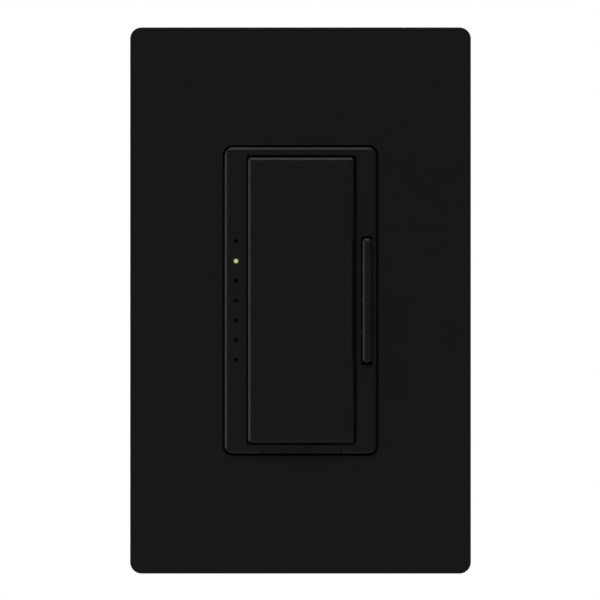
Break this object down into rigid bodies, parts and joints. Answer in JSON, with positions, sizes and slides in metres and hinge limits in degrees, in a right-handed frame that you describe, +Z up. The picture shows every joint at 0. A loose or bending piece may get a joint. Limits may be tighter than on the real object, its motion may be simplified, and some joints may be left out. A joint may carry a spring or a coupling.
{
  "type": "dimmer switch",
  "caption": "Black wall dimmer: large tap paddle, narrow raise/lower rocker, a row of level lights, pull-out air-gap tab, screwless plate and back box.",
  "frame": {"origin": "centre of the wall plate, on the wall surface it rests against", "axes": "+Z up, +X right as seen from the room, -Y out of the wall towards the room, +Y into the wall box"},
  "size_m": [0.0742, 0.0395, 0.119],
  "materials": {
    "front_plastic": "fine satin black",
    "smoke_plastic": "smoke-tinted, clear, moulded",
    "led_resin": "milky resin",
    "housing_plastic": "moulded black, slightly rough",
    "aluminium": "brushed sheet",
    "zinc_steel": "bright zinc",
    "brass": "bright",
    "black_screw": "black oxide",
    "blue_screw": "blue passivated",
    "green_screw": "green coated",
    "fibre": "vulcanised fibre",
    "insulating_film": "translucent polyester",
    "circuit_board": "green solder resist",
    "black_board": "black solder resist, which stops stray light",
    "switch_plastic": "moulded black",
    "stem_plastic": "natural nylon",
    "chip_epoxy": "moulded epoxy",
    "ferrite": "dull grey",
    "copper_wire": "enamelled copper",
    "yellow_case": "yellow box",
    "blue_sleeve": "shrink sleeve",
    "disc_coating": "dipped epoxy",
    "fuse_ceramic": "white tube, plated caps"
  },
  "bodies": {
    "base": {"plate_adapter": "front_plastic", "bezel": "front_plastic", "light_pipe": "smoke_plastic", "led_1": "led_resin", "led_2": "led_resin", "led_3": "led_resin", "led_4": "led_resin", "led_5": "led_resin", "led_6": "led_resin", "led_7": "led_resin", "housing": "housing_plastic", "board_header": "housing_plastic", "yoke": "aluminium", "mounting_screw_top": "zinc_steel", "mounting_screw_bottom": "zinc_steel", "adapter_screw_top": "zinc_steel", "adapter_screw_bottom": "zinc_steel", "triac_screw": "zinc_steel", "housing_screw_1": "zinc_steel", "housing_screw_2": "zinc_steel", "housing_screw_3": "zinc_steel", "housing_screw_4": "zinc_steel", "airgap_post": "brass", "airgap_contact": "brass", "terminal_screw_brass": "brass", "terminal_clamp_brass": "brass", "terminal_clamp_black": "brass", "terminal_clamp_blue": "brass", "terminal_clamp_green": "brass", "terminal_screw_black": "black_screw", "terminal_screw_blue": "blue_screw", "terminal_screw_green": "green_screw", "screw_retainer_top": "fibre", "screw_retainer_bottom": "fibre", "insulator_sheet": "insulating_film", "triac_insulator": "insulating_film", "power_board": "circuit_board", "control_board": "black_board", "tact_switch_tap": "switch_plastic", "tact_switch_raise": "switch_plastic", "tact_switch_lower": "switch_plastic", "microcontroller": "chip_epoxy", "triac": "chip_epoxy", "choke_core": "ferrite", "choke_winding": "copper_wire", "film_capacitor": "yellow_case", "electrolytic_capacitor": "blue_sleeve", "varistor": "disc_coating", "fuse": "fuse_ceramic"},
    "plate": {"wall_plate": "front_plastic"},
    "paddle": {"tap_paddle": "front_plastic"},
    "tap_stem": {"tact_stem_tap": "stem_plastic"},
    "pin": {"rocker_pin": "black_screw"},
    "rocker": {"dim_rocker": "front_plastic"},
    "raise_stem": {"tact_stem_raise": "stem_plastic"},
    "lower_stem": {"tact_stem_lower": "stem_plastic"},
    "tab": {"airgap_tab": "front_plastic"},
    "leaf": {"airgap_leaf": "brass"}
  },
  "joints": [
    {"name": "wall_plate_off", "type": "slide", "parent": "base", "child": "plate", "axis": [0, -1, 0], "range_m": [0, 0.014]},
    {"name": "paddle_press", "type": "hinge", "parent": "base", "child": "paddle", "pos_m": [0.00015, -0.0054, 0.0285], "axis": [1, 0, 0], "range_deg": [0, 0.75], "stiffness_Nm_per_rad": 3},
    {"name": "tap_stem_press", "type": "slide", "parent": "base", "child": "tap_stem", "axis": [0, 1, 0], "range_m": [0, 0.00025]},
    {"name": "dim_raise", "type": "hinge", "parent": "base", "child": "pin", "pos_m": [0.0144, -0.0065, 0], "axis": [-1, 0, 0], "range_deg": [0, 2], "stiffness_Nm_per_rad": 0.1},
    {"name": "dim_lower", "type": "hinge", "parent": "pin", "child": "rocker", "pos_m": [0.0144, -0.0065, 0], "axis": [1, 0, 0], "range_deg": [0, 2], "stiffness_Nm_per_rad": 0.1},
    {"name": "raise_stem_press", "type": "slide", "parent": "base", "child": "raise_stem", "axis": [0, 1, 0], "range_m": [0, 0.00025]},
    {"name": "lower_stem_press", "type": "slide", "parent": "base", "child": "lower_stem", "axis": [0, 1, 0], "range_m": [0, 0.00025]},
    {"name": "airgap_pull", "type": "slide", "parent": "base", "child": "tab", "axis": [0, -1, 0], "range_m": [0, 0.003]},
    {"name": "airgap_leaf_lift", "type": "hinge", "parent": "base", "child": "leaf", "pos_m": [-0.014, 0.0052, -0.02925], "axis": [0, 0, -1], "range_deg": [0, 10.8]}
  ],
  "couplings": [
    {"joint": "tap_stem_press", "follows": "paddle_press", "m_per_rad": 0.019},
    {"joint": "raise_stem_press", "follows": "dim_raise", "m_per_rad": 0.007},
    {"joint": "lower_stem_press", "follows": "dim_lower", "m_per_rad": 0.007},
    {"joint": "airgap_leaf_lift", "follows": "airgap_pull", "rad_per_m": 62.5}
  ]
}
